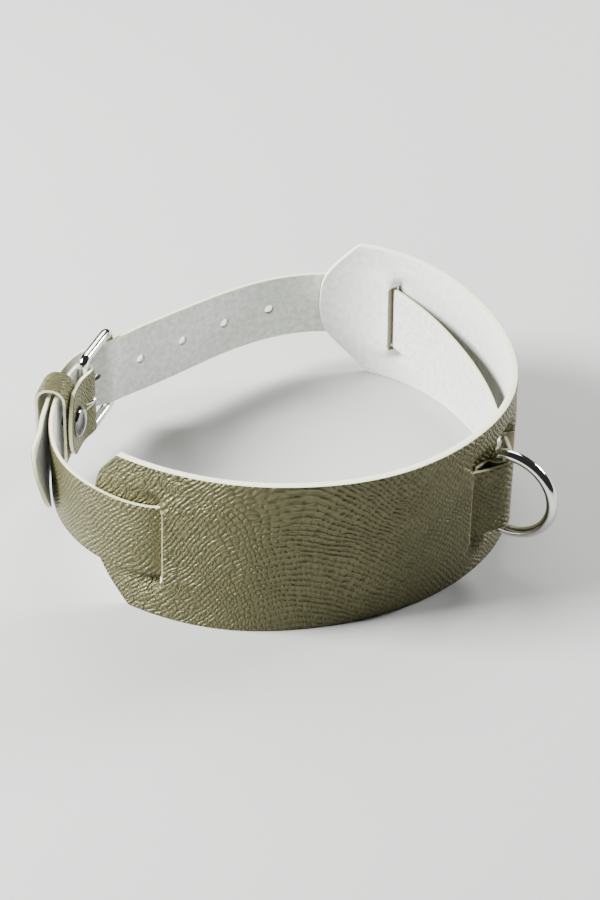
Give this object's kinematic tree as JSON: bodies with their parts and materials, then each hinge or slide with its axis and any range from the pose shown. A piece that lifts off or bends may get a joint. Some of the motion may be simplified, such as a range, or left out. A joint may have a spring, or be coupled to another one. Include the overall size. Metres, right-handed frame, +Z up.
{
  "type": "choker collar",
  "caption": "Wide faux leather choker closed as worn: a narrow strap woven through slits in a rounded panel, a D-ring on a tab, and a buckle with a keeper.",
  "frame": {"origin": "on the surface the choker stands on, under the middle of its bounding box", "axes": "+Z up, along the panel's height; the D-ring is at the front, -Y; the buckle is at the back left, +Y and -X; +X is the wearer's left when the D-ring is at the throat"},
  "size_m": [0.1289, 0.1398, 0.0434],
  "materials": {
    "panel_leather": "dull gold pebbled grain outside, off-white suede inside, cream cut edges",
    "strap_leather": "dull gold pebbled grain outside, off-white suede inside, cream cut edges",
    "keeper_leather": "dull gold pebbled grain outside",
    "tab_leather": "dull gold pebbled grain outside",
    "d_ring_metal": "polished nickel plate",
    "frame_metal": "polished nickel plate",
    "prong_metal": "polished nickel plate",
    "rivet_metal": "polished nickel plate"
  },
  "bodies": {
    "collar": {"panel": "panel_leather", "strap": "strap_leather", "keeper": "keeper_leather", "ring_tab": "tab_leather", "buckle_frame": "frame_metal", "buckle_prong": "prong_metal", "rivet": "rivet_metal"},
    "ring": {"d_ring": "d_ring_metal"}
  },
  "joints": [
    {"name": "d_ring_swing", "type": "hinge", "parent": "collar", "child": "ring", "pos_m": [0.0013, -0.05228, 0.0217], "axis": [0, 0, 1], "range_deg": [-75, 75]}
  ]
}
